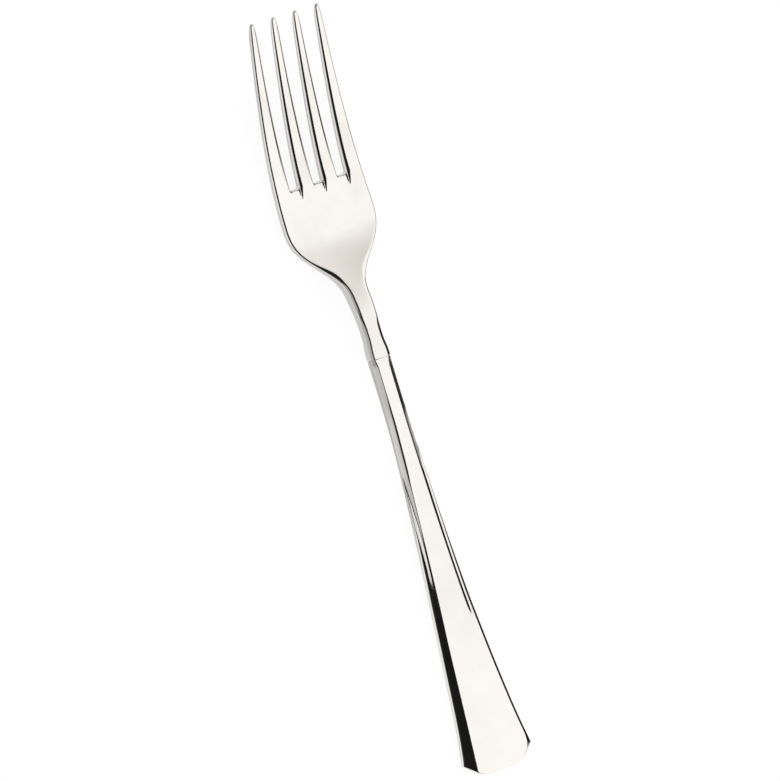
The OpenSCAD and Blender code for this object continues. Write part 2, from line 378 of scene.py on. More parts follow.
def polish_group() -> bpy.types.NodeTree:
    """Marks of polishing that every metal here has: fine lines along the fork, and a soft haze.

    Returns:
        The group, with the sizes of both marks as inputs.
    """
    tree = bpy.data.node_groups.new("polish_marks", "ShaderNodeTree")
    for name, way in (("Grain", "INPUT"), ("Haze Size", "INPUT"), ("Lines", "OUTPUT"), ("Haze", "OUTPUT")):
        tree.interface.new_socket(name, in_out=way, socket_type="NodeSocketFloat")
    nodes = Nodes(tree)
    given = nodes.add("NodeGroupInput")
    place = nodes.add("ShaderNodeTexCoord").outputs["Object"]
    drawn = nodes.add("ShaderNodeMapping", {"Vector": place, "Scale": (1.0, 0.035, 1.0)}).outputs[0]
    lines = nodes.add("ShaderNodeTexNoise", {"Vector": drawn, "Scale": given.outputs["Grain"],
                                             "Detail": 3.0, "Roughness": 0.62})
    haze = nodes.add("ShaderNodeTexNoise", {"Vector": place, "Scale": given.outputs["Haze Size"],
                                            "Detail": 4.0, "Roughness": 0.55})
    nodes.add("NodeGroupOutput", {"Lines": nodes.span(lines.outputs["Fac"], 0.3, 0.7),
                                  "Haze": nodes.span(haze.outputs["Fac"], 0.35, 0.7)})
    return tree


@dataclass(frozen=True)
class MetalFinish:
    """A metal with polishing marks, duller where hazed and cleaner along its edges, with painted shade that
    darkens it on its walls and back.
    """

    name: str
    bright: Colour
    dull: Colour
    # The colour of the painted shade on walls and back faces.
    back: Colour
    smooth: float
    rough: float
    grain: float
    haze_size: float
    relief: float
    edge_from: float = 0.35
    edge_haze: float = 0.45
    # Where the painted shade starts and ends on its measure, and how far it goes towards its colour.
    painted_shade_from: Span = (0.6, 0.75)
    painted_shade_share: float = 0.9
    line_share: float = 0.45
    line_depth: float = 0.00002

    def material(self, marks: bpy.types.NodeTree) -> bpy.types.Material:
        """Builds the material.

        Args:
            marks: the shared group of polishing marks.

        Returns:
            The material.
        """
        made, nodes = new_material(self.name)
        sizes = {"Grain": self.grain, "Haze Size": self.haze_size}
        group = nodes.add("ShaderNodeGroup", sizes, node_tree=marks)
        edge = nodes.add("ShaderNodeAttribute", attribute_name="edge").outputs["Fac"]
        painted_shade = nodes.add("ShaderNodeAttribute", attribute_name="painted_shade").outputs["Fac"]
        worn = nodes.span(edge, self.edge_from, 1.0, 1.0, self.edge_haze)
        hazed = nodes.maths("MULTIPLY", group.outputs["Haze"], worn)
        colour = nodes.blend(hazed, solid(self.bright), solid(self.dull))
        # Painted shade: the colour darkens towards the shade colour on walls and back faces.
        shaded = nodes.span(painted_shade, *self.painted_shade_from, 0.0, self.painted_shade_share)
        colour = nodes.blend(shaded, colour, solid(self.back))
        streaks = nodes.maths("MULTIPLY_ADD", group.outputs["Lines"], self.line_share, hazed)
        rough = nodes.span(streaks, 0.0, 1.0 + self.line_share, self.smooth, self.rough)
        bump = nodes.add("ShaderNodeBump", {"Strength": self.relief, "Distance": self.line_depth,
                                            "Height": group.outputs["Lines"]})
        shader = nodes.add("ShaderNodeBsdfPrincipled", {
            "Base Color": colour, "Metallic": 1.0, "Roughness": rough, "Normal": bump.outputs[0]})
        nodes.add("ShaderNodeOutputMaterial", {"Surface": shader.outputs[0]})
        return made


@dataclass(frozen=True)
class FillerFinish:
    """The hard filler inside the handle: sandy, matte and speckled."""

    name: str
    pale: Colour
    dark: Colour
    grain: float = 1400.0
    speckle: Span = (0.35, 0.65)
    smooth: float = 0.7
    rough: float = 0.92
    relief: float = 0.4
    depth: float = 0.0001

    def material(self) -> bpy.types.Material:
        """Builds the material.

        Returns:
            The material.
        """
        made, nodes = new_material(self.name)
        place = nodes.add("ShaderNodeTexCoord").outputs["Object"]
        sand = nodes.add("ShaderNodeTexNoise", {"Vector": place, "Scale": self.grain, "Detail": 5.0})
        grains = nodes.span(sand.outputs["Fac"], *self.speckle)
        bump = nodes.add("ShaderNodeBump", {"Strength": self.relief, "Distance": self.depth,
                                            "Height": grains})
        shader = nodes.add("ShaderNodeBsdfPrincipled", {
            "Base Color": nodes.blend(grains, solid(self.dark), solid(self.pale)),
            "Roughness": nodes.span(grains, 0.0, 1.0, self.smooth, self.rough), "Normal": bump.outputs[0]})
        nodes.add("ShaderNodeOutputMaterial", {"Surface": shader.outputs[0]})
        return made


# Each metal's third colour is its painted shade on walls and back faces.
HEAD_STEEL = MetalFinish("polished_head_steel", (0.925, 0.908, 0.885), (0.865, 0.847, 0.82),
                         (0.24, 0.235, 0.225), 0.05, 0.12, 5200.0, 70.0, 0.05)
SHELL_STEEL = MetalFinish("polished_shell_steel", (0.93, 0.912, 0.888), (0.875, 0.856, 0.828),
                          (0.42, 0.41, 0.4), 0.045, 0.11, 5200.0, 55.0, 0.05)
BRAZE = MetalFinish("ground_braze", (0.82, 0.795, 0.75), (0.7, 0.675, 0.63),
                    (0.44, 0.43, 0.41), 0.16, 0.34, 2600.0, 400.0, 0.25)
FILLER = FillerFinish("handle_filler_sand", (0.62, 0.54, 0.42), (0.46, 0.38, 0.28))


# The fork


@dataclass(frozen=True)
class SideLine:
    """The fork's profile: flat rest, rising handle, neck, bowl and rising tines.

    The crest is placed by a share of the neck's length, and the dip and the rise by shares of the palm's.
    """

    rest_z: float = 4.4
    rest_l: float = 25.0
    neck_z: float = 10.8
    rim_z: float = 4.1
    tip_z: float = 20.0
    tine_bend: float = 0.6
    joint_y: float = 127.4
    neck_l: float = 19.4
    palm_l: float = 34.8
    tine_l: float = 49.4
    crest_at: float = 0.42
    dip_at: float = 0.6
    rise_at: float = 0.23

    @property
    def shoulder_y(self) -> float:
        """Where the neck opens into the palm."""
        return self.joint_y + self.neck_l

    @property
    def root_y(self) -> float:
        """Where the slots start."""
        return self.shoulder_y + self.palm_l

    @property
    def tip_y(self) -> float:
        """The fork's length."""
        return self.root_y + self.tine_l

    def front(self, y: Array) -> Array:
        """Height of the front face: level, then a soft rise, a soft fall and a bend into a straight rise.

        Args:
            y: place along the fork.

        Returns:
            The height over the table.
        """
        crest = self.shoulder_y - self.crest_at * self.neck_l
        dip = self.shoulder_y + self.dip_at * self.palm_l
        rise = self.root_y - self.rise_at * self.palm_l
        t = np.clip((y - rise) / (self.tip_y - rise), 0.0, None)
        full = math.sqrt(1.0 + (1.0 / self.tine_bend) ** 2) - 1.0
        bent = (np.sqrt(1.0 + (t / self.tine_bend) ** 2) - 1.0) / full
        handle = mix(self.rest_z, self.neck_z, Stretch(self.rest_l, crest - self.rest_l).at(y))
        bowl = mix(self.neck_z, self.rim_z, Stretch(crest, dip - crest).at(y))
        return np.where(y < crest, handle, np.where(y < rise, bowl, mix(self.rim_z, self.tip_z, bent)))


@dataclass(frozen=True)
class ShellPlan:
    """The grid that both shells are drawn on.

    inward is the distance from the outline, and up is how far up the wall a place is, from 0 to 1.
    """

    x: Array
    y: Array
    inward: Array
    up: Array


@dataclass(frozen=True)
class Handle:
    """The hollow handle: two pressed shells with a panel and two bevels each, brazed along the seam.

    Stretches are in shares of the handle's length, apart from rim_starts, which is in millimetres.
    """

    line: SideLine
    butt_w: float = 22.6
    mouth_w: float = 6.3
    panel_butt_w: float = 15.4
    panel_mouth_w: float = 3.4
    panel_spread: float = 0.45
    panel_spread_l: float = 2.4
    flare_power: float = 1.66
    end_flare: float = 0.85
    end_flare_l: float = 21.0
    end_flare_power: float = 2.2
    mouth_l: float = 7.4
    corner_l: float = 3.1
    corner_in: float = 0.5
    corner_steps: int = 4001
    end_bow: float = 1.1
    bow_power: int = 4
    end_fade: float = 14.0
    end_rows_l: float = 2.0
    mouth_rows_l: float = 0.04
    thick: float = 4.4
    front_d: float = 2.2
    bevel_drop: float = 0.45
    plain_share: float = 0.36
    inner_steep: float = 0.535
    upper_steep: float = 0.7
    mouth_steep: float = 0.62
    outer_level: float = 0.38
    left_bend: float = 0.29
    right_bend: float = 0.62
    bend_out: float = 1.25
    rim_w: float = 0.9
    rim_fall: float = 0.5
    rim_soft: float = 0.08
    rim_trim: float = 0.002
    rim_thin: float = 0.3
    rim_gone: float = 0.02
    corner_rim_w: float = 0.5
    corner_rim_y: float = 5.0
    corner_rim_l: float = 1.5
    back_land: float = 0.3
    mouth_land: float = 1.9
    sheet_t: float = 0.55
    lining_end: float = 1.3
    lining_side: float = 1.4
    lining_draw: float = 3.0
    braze_t: float = 0.2
    bead_gap: float = 0.25
    bead_in: float = 0.015
    bead_corner_in: float = 0.05
    edge_r: float = 0.2
    crease: float = 0.12
    narrow_share: float = 0.5
    soft_crease: float = 0.28
    knee: float = 3.0
    bend_crease: float = 0.03
    sharp_share: float = 0.2
    crest_w: float = 0.35
    crest_edge: float = 0.7
    # Painted shade on the handle's walls: its level at the butt and at the mouth, and how far in from the
    # outline it reaches by the mouth.
    butt_shade: float = 0.65
    mouth_shade: float = 0.75
    mouth_reach: float = 2.4
    rim_starts: Stretch = Stretch(1.5, 4.0)
    rim_thins: Stretch = Stretch(0.4, 0.35)
    rim_ends: Stretch = Stretch(0.72, 0.06)
    left_rim_ends: Stretch = Stretch(0.5, 0.12)
    inner_steepens: Stretch = Stretch(0.32, 0.1)
    left_steepens: Stretch = Stretch(0.54, 0.06)
    upper_steepens: Stretch = Stretch(0.7, 0.035)
    mouth_eases: Stretch = Stretch(0.855, 0.02)
    outer_levels: Stretch = Stretch(0.41, 0.07)
    left_bend_runs: Stretch = Stretch(0.55, 0.23)
    right_bend_runs: Stretch = Stretch(0.73, 0.1)
    left_bend_sharpens: Stretch = Stretch(0.55, 0.05)
    crease_narrows: Stretch = Stretch(0.5, 0.1)
    crease_softens: Stretch = Stretch(0.68, 0.06)
    crease_hardens: Stretch = Stretch(0.84, 0.09)
    land_grows: Stretch = Stretch(0.75, 0.25)
    shade_grows: Stretch = Stretch(0.45, 0.25)
    reach_grows: Stretch = Stretch(0.6, 0.15)

    @property
    def mouth_y(self) -> float:
        """Where the shells end at the neck."""
        return self.line.joint_y - self.braze_t

    def over(self, y: Array, stretch: Stretch, before: Array | float, after: Array | float) -> Array:
        """A value that changes over a stretch of the handle."""
        return mix(before, after, stretch.at(y / self.line.joint_y))

    def flare(self, y: Array) -> Array:
        """Share of the flare: 1 at the butt, falling by a power to 0 below the mouth."""
        return np.maximum(0.0, 1.0 - y / (self.line.joint_y - self.mouth_l)) ** self.flare_power

    def flare_w(self, y: Array) -> Array:
        """Half the handle's width by its flare alone."""
        return mix(self.mouth_w, self.butt_w, self.flare(y)) / 2.0

    def half_w(self, y: Array) -> Array:
        """Half the handle's width, with the further spread close to the butt."""
        near = np.maximum(0.0, 1.0 - y / self.end_flare_l)
        return self.flare_w(y) + self.end_flare * near**self.end_flare_power

    def rim(self, y: Array) -> Array:
        """Width of the chamfer along the outer edge, broad at the butt's corners and fading to the neck.

        Args:
            y: place along the fork.

        Returns:
            The width, inwards from the outline.
        """
        corner = self.corner_rim_w * bell(y - self.corner_rim_y, self.corner_rim_l)
        thin = self.over(y, self.rim_thins, 1.0, self.rim_thin)
        fade = thin * self.over(y, self.rim_ends, 1.0, self.rim_gone)
        return (self.rim_w * fade + corner) * self.rim_starts.at(y)

    def panel(self, y: Array) -> Array:
        """Half the flat panel's width, which spreads a little right at the mouth.

        Args:
            y: place along the fork.

        Returns:
            Half the width.
        """
        near = ease((y - self.line.joint_y + self.panel_spread_l) / self.panel_spread_l)
        plain = mix(self.panel_mouth_w, self.panel_butt_w, self.flare(y)) / 2.0
        return plain + self.panel_spread * near

    def seam(self, y: Array) -> Array:
        """Height of the seam between the shells."""
        return self.line.front(y) - self.front_d

    def corner_x(self) -> float:
        """Half the width of the butt's curved end, where the cut corners start."""
        return self.panel_butt_w / 2.0 - self.corner_in

    def cut(self) -> float:
        """Slope of the cut corners in plan."""
        return self.corner_l / ((self.butt_w - self.panel_butt_w) / 2.0)

    def end_y(self, x: Array) -> Array:
        """The butt's outline: a shallow bow, then a straight cut corner on either side.

        Args:
            x: place across the fork.

        Returns:
            Where the outline lies, from the butt's middle.
        """
        away = np.abs(x)
        start = self.corner_x()
        bow = self.end_bow * np.minimum(away / start, 1.0) ** self.bow_power
        return bow + np.maximum(0.0, away - start) * self.cut()

    def corner_y(self) -> float:
        """Where the cut corners meet the flaring sides, found on a fine line of stations."""
        y = np.linspace(0.0, 2.0 * self.corner_l, self.corner_steps)
        return float(y[np.argmax(self.end_y(self.half_w(y)) < y)])

    def slopes(self, x: Array, y: Array) -> tuple[Array, Array]:
        """How steeply a front bevel falls: its inner part, by the panel, and its outer part.

        Both are the same at the butt. From the middle on the inner part is steep and the outer one nearly
        level. The left bevel steepens earlier than the right one.

        Args:
            x: place across the fork.
            y: place along the fork.

        Returns:
            The slopes of the inner and of the outer part.
        """
        early = np.minimum(y, self.plain_share * self.line.joint_y)
        base = self.bevel_drop / (self.flare_w(early) - self.panel(early))
        lifted = np.where(x < 0.0, self.mouth_steep, self.inner_steep)
        inner = base
        for stretch, steep in (
            (self.inner_steepens, self.inner_steep), (self.left_steepens, lifted),
            (self.upper_steepens, self.upper_steep), (self.mouth_eases, self.mouth_steep),
        ):
            inner = self.over(y, stretch, inner, steep)
        return inner, base * self.over(y, self.outer_levels, 1.0, self.outer_level)

    def bend_at(self, x: Array, y: Array) -> Array:
        """Share of a bevel's width in its inner part, which runs out to the edge towards the mouth.

        Args:
            x: place across the fork.
            y: place along the fork.

        Returns:
            The share, past 1 where the outer part has run out.
        """
        left = self.over(y, self.left_bend_runs, self.left_bend, self.bend_out)
        right = self.over(y, self.right_bend_runs, self.right_bend, self.bend_out)
        return np.where(x < 0.0, left, right)

    def fall(self, x: Array, y: Array, side: Side, drawn: float = 0.0) -> Array:
        """How far a bevel has fallen at a place past the panel's edge.

        Args:
            x: place across the fork.
            y: place along the fork.
            side: which half. Only the front bevels have two parts.
            drawn: how far the panel's edge is drawn in.

        Returns:
            The fall, with a soft crease at the panel and at the bend.
        """
        past = np.abs(x) - self.panel(y) + drawn
        if side is Side.BACK:
            land = self.over(y, self.land_grows, self.back_land, self.mouth_land)
            slope = (self.thick - self.front_d - land) / (self.half_w(y) - self.panel(y))
            return slope * ramp(past, self.soft_crease)
        inner, outer = self.slopes(x, y)
        tight = self.crease * self.over(y, self.crease_narrows, 1.0, self.narrow_share)
        soft = self.over(y, self.crease_softens, 0.0, 1.0) * self.over(y, self.crease_hardens, 1.0, 0.0)
        crease = mix(tight, self.soft_crease, soft)
        bend_x = self.bend_at(x, y) * (self.half_w(y) - self.rim(y) - self.panel(y))
        sharp = self.over(y, self.left_bend_sharpens, 1.0, self.sharp_share)
        bend = self.bend_crease * np.where(x < 0.0, sharp, 1.0)
        return inner * ramp(past, crease) + (outer - inner) * ramp(past - bend_x, bend)

    def plan(self) -> ShellPlan:
        """Lays out the shells' grid.

        Columns run from the seam on one side over the rounded edge, the bevel and the panel to the other
        seam. The first row follows the butt's outline, and later rows straighten out within a short way.

        Returns:
            The grid, with its distances from the outline.
        """
        start = self.corner_y()
        rounds = round_steps(6)
        last = self.mouth_y - start
        inner = stations(self.edge_r, (self.end_rows_l, 6), (self.end_fade, 16),
                         (self.line.rest_l - start, 6), (last - self.mouth_rows_l, 84), (last, 4))
        q = np.concatenate([[0.0, 0.0], self.edge_r * rounds, inner[1:]])[:, None]
        up_row = np.ones_like(q)
        up_row[:2, 0] = (0.0, 0.5)
        side_y = start + q
        half = self.half_w(side_y)
        flat = self.panel(side_y) - self.knee * self.soft_crease
        rim = self.rim(side_y) + self.edge_r
        share = np.linspace(0.0, 1.0, 9)[None, :]
        spread = np.concatenate([
            flat * share,
            mix(flat, half - rim, np.linspace(0.0, 1.0, 47)[None, 1:]),
            mix(half - rim, half - self.edge_r, share[:, 1:]),
            half - self.edge_r * rounds[None, ::-1][:, 1:],
            half + np.zeros((1, 2)),
        ], axis=1)
        up = np.ones(spread.shape[1])
        up[-2:] = (0.5, 0.0)
        x = np.concatenate([-spread[:, :0:-1], spread], axis=1)
        up_col = np.concatenate([up[:0:-1], up])[None, :]
        fade = 1.0 - ease(q / self.end_fade)
        y = side_y - (start - np.minimum(self.end_y(x), start)) * fade
        cut = np.where(np.abs(x) > self.corner_x(), 1.0 / math.hypot(1.0, self.cut()), 1.0)
        inward = np.minimum(self.half_w(y) - np.abs(x), (y - self.end_y(x)) * cut)
        inward = np.where((q <= 0.0) | (np.abs(x) >= half - TOUCH), 0.0, np.maximum(inward, 0.0))
        return ShellPlan(x, y, inward, np.minimum(up_row, up_col))

    def face(self, y: Array, side: Side) -> Array:
        """Height of a half's flat panel."""
        return self.line.front(y) - (0.0 if side is Side.FRONT else self.thick)

    def ledge(self, y: Array, side: Side) -> Array:
        """Height of a half's edge along the seam."""
        return self.seam(y) + side.value * self.braze_t / 2.0

    def sheet(self, plan: ShellPlan, side: Side) -> Array:
        """The outer face of a shell.

        The height is the panel's, less the bevel's fall past the panel's edge, less the rounded edge, and
        the wall runs from there to the seam. The mouth is rolled in a little, so that the joint shows.

        Args:
            plan: the shells' grid.
            side: which half.

        Returns:
            Points on the grid.
        """
        x, y = plan.x, plan.y
        fall = self.fall(x, y, side) + roll(plan.inward, self.edge_r)
        if side is Side.FRONT:
            early = self.over(y, self.left_rim_ends, 1.0, self.rim_gone)
            rim = self.rim(y) * np.where(x < 0.0, early, 1.0)
            more = np.maximum(self.rim_fall - self.slopes(x, y)[1], 0.0)
            fall = fall + more * np.maximum(ramp(rim - plan.inward, self.rim_soft) - self.rim_trim, 0.0)
        tuck = roll(np.maximum(self.mouth_y - y, 0.0), TUCK_R)
        level = self.face(y, side) - side.value * (fall + tuck)
        narrow = x * (1.0 - tuck / self.half_w(y))
        return np.stack([narrow, y, mix(self.ledge(y, side), level, plan.up)], axis=-1)

    def lining(self, plan: ShellPlan, side: Side) -> Array:
        """The inner face of a shell, about one sheet's thickness inside the outer one.

        Args:
            plan: the shells' grid.
            side: which half.

        Returns:
            Points on the same grid.
        """
        near = 1.0 - ease((plan.y - self.corner_y()) / self.end_fade)
        y = plan.y + self.lining_end * self.sheet_t * near
        x = plan.x * (1.0 - self.lining_side * self.sheet_t / self.half_w(plan.y))
        fall = self.fall(x, y, side, self.sheet_t / self.lining_draw)
        level = self.face(y, side) - side.value * (self.sheet_t + fall)
        return np.stack([x, y, mix(self.ledge(plan.y, side), level, plan.up)], axis=-1)

    def shaded(self, y: Array) -> Array:
        """Painted shade on the handle's walls, a little stronger towards the mouth."""
        return self.over(y, self.shade_grows, self.butt_shade, self.mouth_shade)

    def shell(self, side: Side) -> Skin:
        """One half of the handle, as a pressed sheet with an outer face, an inner face and its rim.

        Args:
            side: which half.

        Returns:
            The closed skin.
        """
        plan = self.plan()
        outer = self.sheet(plan, side)
        inner = self.lining(plan, side)
        crest = bell(np.abs(plan.x) - self.panel(plan.y), self.crest_w)
        edge = np.maximum(np.exp(-plan.inward / EDGE_FADE), self.crest_edge * crest)
        # Painted shade on the outline and the rounded edge, fading inwards and reaching further in towards
        # the mouth.
        reach = self.over(plan.y, self.reach_grows, 1.0, self.mouth_reach)
        painted_shade_level = self.shaded(plan.y) * np.clip(reach * (1.0 - plan.inward / self.edge_r), 0.0, 1.0)
        top, low = (outer, inner) if side is Side.FRONT else (inner, outer)
        return sandwich(top, low, edge, (painted_shade_level, painted_shade_level))

    def seam_line(self) -> Skin:
        """The braze in the seam: a flat bead along the outline, from mouth to mouth round the butt.

        Returns:
            The closed skin.
        """
        start = self.corner_y()
        side_y = np.linspace(self.mouth_y - self.bead_gap, start, 120)
        corner = self.half_w(np.array(start))
        end_x = np.linspace(-corner, corner, 80)[1:-1]
        left = np.stack([-self.half_w(side_y), side_y], axis=1)
        butt = np.stack([end_x, self.end_y(end_x)], axis=1)
        path = np.concatenate([left, butt, left[::-1] * np.array([-1.0, 1.0])])
        along = np.gradient(path, axis=0)
        along /= np.linalg.norm(along, axis=1, keepdims=True)
        inner = np.stack([-along[:, 1], along[:, 0]], axis=1)
        half = self.braze_t / 2.0
        upper = [self.bead_in, self.bead_corner_in, self.sheet_t]
        depth = np.array(upper[::-1] + upper)
        height = np.array([-half, -half, -half / 2.0, half / 2.0, half, half])
        flat = path[:, None, :] + inner[:, None, :] * depth[None, :, None]
        rise = self.seam(path[:, 1])[:, None] + height[None, :]
        grid = np.concatenate([flat, rise[..., None]], axis=-1)[:, ::-1]
        # The bead takes the walls' painted shade.
        return tube(grid, closed=False, painted_shade=self.shaded(path[:, 1]))


@dataclass(frozen=True)
class Head:
    """The forged head: tang, neck with its lip, dished palm and tapering tines.

    Stretches are in millimetres from the joint (lip_fades, slims, softens), from the shoulder
    (rim_grows) and from the slots' roots (shade_fades).
    """

    line: SideLine
    tine_n: int = 4
    neck_w: float = 5.52
    neck_swell: float = 0.33
    swell_at: float = 0.4
    swell_share: float = 0.7
    head_w: float = 28.8
    spread_w: float = 22.5
    wide_at: float = 0.64
    open_at: float = 0.83
    open_early: float = 2.25
    open_late: float = 5.9
    taper_power: float = 1.26
    broad_at: float = 0.6
    lip_h: float = 0.4
    lip_rise: float = 0.3
    lip_deep: float = 0.9
    lip_fades: Stretch = Stretch(1.0, 5.5)
    lip_rows_l: float = 7.0
    root_rows_l: float = 1.2
    tip_crowding: float = 1.8
    slot_root_w: float = 3.2
    slot_tip_w: float = 5.1
    slot_close: float = 0.92
    slot_draw: float = 0.025
    ramp_l: float = 3.8
    ramp_d: float = 0.25
    ramp_end_r: float = 0.75
    hook_l: float = 1.0
    slot_bow: float = 0.4
    slot_bow_l: float = 1.6
    slot_edge: float = 0.4
    ramp_left_l: float = 0.2
    ramp_right_l: float = 0.5
    tip_l: float = 6.0
    point_power: float = 2.4
    point_w: float = 0.2
    point_t: float = 0.24
    neck_t: float = 4.5
    neck_keel: float = 1.1
    keel_at: float = 3.0
    keel_l: float = 14.0
    rim_t: float = 2.9
    tip_t: float = 2.2
    dish: float = 0.4
    tip_dish: float = 0.6
    belly: float = 1.2
    tip_belly: float = 0.15
    rim_edge_w: float = 0.85
    tip_edge: float = 0.85
    rim_slope: float = 0.18
    rim_soft: float = 0.22
    rim_r: float = 0.5
    rim_grows: Stretch = Stretch(0.5, 7.5)
    bulge_w: float = 0.9
    bulge_at: float = 8.2
    bulge_l: float = 3.2
    slot_edge_w: float = 0.77
    slot_slope: float = 0.27
    slot_soft: float = 0.12
    root_broad: float = 0.18
    root_broad_l: float = 3.5
    tip_facet: float = 0.5
    run_power: float = 0.7
    run_fade: float = 6.0
    neck_edge_w: float = 1.0
    neck_slope: float = 0.62
    neck_round: float = 0.3
    lip_soft: float = 0.16
    neck_soft: float = 0.4
    left_slim: float = 0.75
    right_slim: float = 0.45
    slims: Stretch = Stretch(9.0, 4.0)
    softens: Stretch = Stretch(9.0, 8.0)
    top_r: float = 0.2
    slot_rear_r: float = 0.5
    neck_rear_r: float = 0.7
    palm_rear_r: float = 0.6
    edge_share: float = 0.45
    # Painted shade on the tines' walls and back: the depth it grades over and its most, by the roots and by
    # the tips, and where it changes.
    root_shade_d: float = 0.77
    tip_shade: float = 0.3
    root_dark: float = 0.68
    tip_dark: float = 0.7
    shade_fades: Stretch = Stretch(2.0, 38.0)
    tang_l: float = 70.0
    tang_w: float = 3.2
    tang_end_w: float = 2.4
    tang_t: float = 2.0
    handle_t: float = 4.4

    @property
    def wide_y(self) -> float:
        """Where the palm is widest."""
        return self.line.shoulder_y + self.wide_at * self.line.palm_l

    @property
    def apex_y(self) -> float:
        """Where the ramps of the slots start."""
        return self.line.root_y - self.ramp_l

    def lip(self, y: Array) -> Array:
        """How far the lip stands out, fading along the neck."""
        return self.lip_h * (1.0 - self.lip_fades.at(y - self.line.joint_y))

    def half_w(self, y: Array) -> Array:
        """Half the head's width: neck, lip, shoulders that open early and run out slowly, then a taper.

        Args:
            y: place along the fork.

        Returns:
            Half the width.
        """
        line = self.line
        neck = self.neck_w / 2.0 + self.lip(y)
        swelling = Stretch(self.swell_at * line.neck_l, self.swell_share * line.neck_l)
        swell = self.neck_swell * swelling.at(y - line.joint_y)
        t = np.clip((y - line.shoulder_y) / (self.open_at * line.palm_l), 0.0, 1.0)
        opened = 1.0 - (1.0 - t**self.open_early) ** self.open_late
        grow = ((self.head_w - self.neck_w) / 2.0 - self.neck_swell) * opened
        past = np.maximum(0.0, (y - self.wide_y) / (line.tip_y - self.wide_y))
        return neck + swell + grow - (self.head_w - self.spread_w) / 2.0 * past**self.taper_power

    def tine_share(self, y: Array) -> Array:
        """How far along the tines: 0 up to the roots and 1 at the tips."""
        return np.maximum(0.0, (y - self.line.root_y) / self.line.tine_l)

    def slot_w(self, y: Array, close: float) -> Array:
        """Width of a slot, or of the ramp that it runs out in.

        Args:
            y: place along the fork.
            close: the share that a ramp closes to at its far end.

        Returns:
            The width.
        """
        root_y = self.line.root_y
        scaled = self.slot_root_w * self.half_w(y) / self.half_w(np.array(root_y))
        closing = mix(1.0, close, np.clip((root_y - y) / self.ramp_l, 0.0, 1.0))
        widened = mix(self.slot_root_w, self.slot_tip_w, self.tine_share(y))
        return np.where(y > root_y, widened, scaled * closing)

    def pitch(self, y: Array) -> Array:
        """Distance from one slot's middle to the next one's."""
        drawn = 1.0 - self.slot_draw * (1.0 - self.tine_share(y) ** 2)
        return (2.0 * self.half_w(y) + self.slot_w(y, 1.0)) / self.tine_n * drawn

    def wall(self, k: int, y: Array) -> Array:
        """Place of a tine's left wall.

        Args:
            k: the tine's number.
            y: place along the fork.

        Returns:
            The wall's place across the fork.
        """
        if k == 0:
            return -self.half_w(y)
        return (k - self.tine_n / 2.0) * self.pitch(y) + self.slot_w(y, self.slot_close) / 2.0

    def right_wall(self, k: int, y: Array) -> Array:
        """Place of a tine's right wall, which mirrors the left one of its opposite."""
        return -self.wall(self.tine_n - 1 - k, y)

    def is_open(self, y: Array) -> Array:
        """Whether a station lies past the slots' roots."""
        return y > self.line.root_y + TOUCH

    def opening(self, y: Array) -> Array:
        """0 where the palm is whole, and 1 where the slots are open."""
        return ease((y - self.apex_y) / self.ramp_l)

    def broad(self, y: Array) -> Array:
        """0 at the neck and 1 on the broad palm."""
        return ease((y - self.line.shoulder_y) / (self.broad_at * self.line.palm_l))

    def point(self, y: Array) -> Array:
        """1 along a tine, falling to 0 over its pointed end."""
        t = np.clip((y - self.line.tip_y + self.tip_l) / self.tip_l, 0.0, 1.0)
        return np.sqrt(np.maximum(0.0, 1.0 - t**self.point_power))

    def rows(self) -> Array:
        """Stations along the head, close together at the lip, the slot roots and the tips.

        Returns:
            Places along the fork, from the joint to the tips.
        """
        line = self.line
        body = stations(line.joint_y, (line.joint_y + TUCK_R, 4), (line.joint_y + self.lip_rows_l, 18),
                        (line.shoulder_y, 18), (self.wide_y, 40), (self.apex_y, 14),
                        (line.root_y - self.ramp_end_r, 14), (line.root_y, 8),
                        (line.root_y + self.root_rows_l, 6), (line.tip_y - self.tip_l, 62))
        ends = line.tip_y - self.tip_l * np.linspace(1.0, 0.0, 17)[1:] ** self.tip_crowding
        return np.concatenate([body, ends])

    def face(self, y: Array) -> Array:
        """Height of the front face on the rim, lifted by the lip."""
        return self.line.front(y) + self.lip_rise * self.lip(y)

    def top_level(self, x: Array, y: Array) -> Array:
        """Front face without its edges: the profile less a dish that is deepest on the middle line."""
        deep = self.dish * self.broad(y) * mix(1.0, self.tip_dish, self.tine_share(y))
        return self.face(y) - deep * (1.0 - (x / self.half_w(y)) ** 2)

    def low_level(self, x: Array, y: Array) -> Array:
        """Back face without its edges: the rim's thickness below, a keel at the neck and a belly.

        Args:
            x: place across the fork.
            y: place along the fork.

        Returns:
            The height over the table.
        """
        thick = mix(self.neck_t + self.lip_deep * self.lip(y), self.rim_t, self.broad(y))
        keel = self.neck_keel * ease(1.0 - np.abs(y - self.line.shoulder_y - self.keel_at) / self.keel_l)
        thick = mix(thick, self.tip_t, self.tine_share(y)) + keel
        swell = self.belly * self.broad(y) * mix(1.0, self.tip_belly, self.tine_share(y))
        return self.face(y) - thick - swell * (1.0 - (x / self.half_w(y)) ** 2)

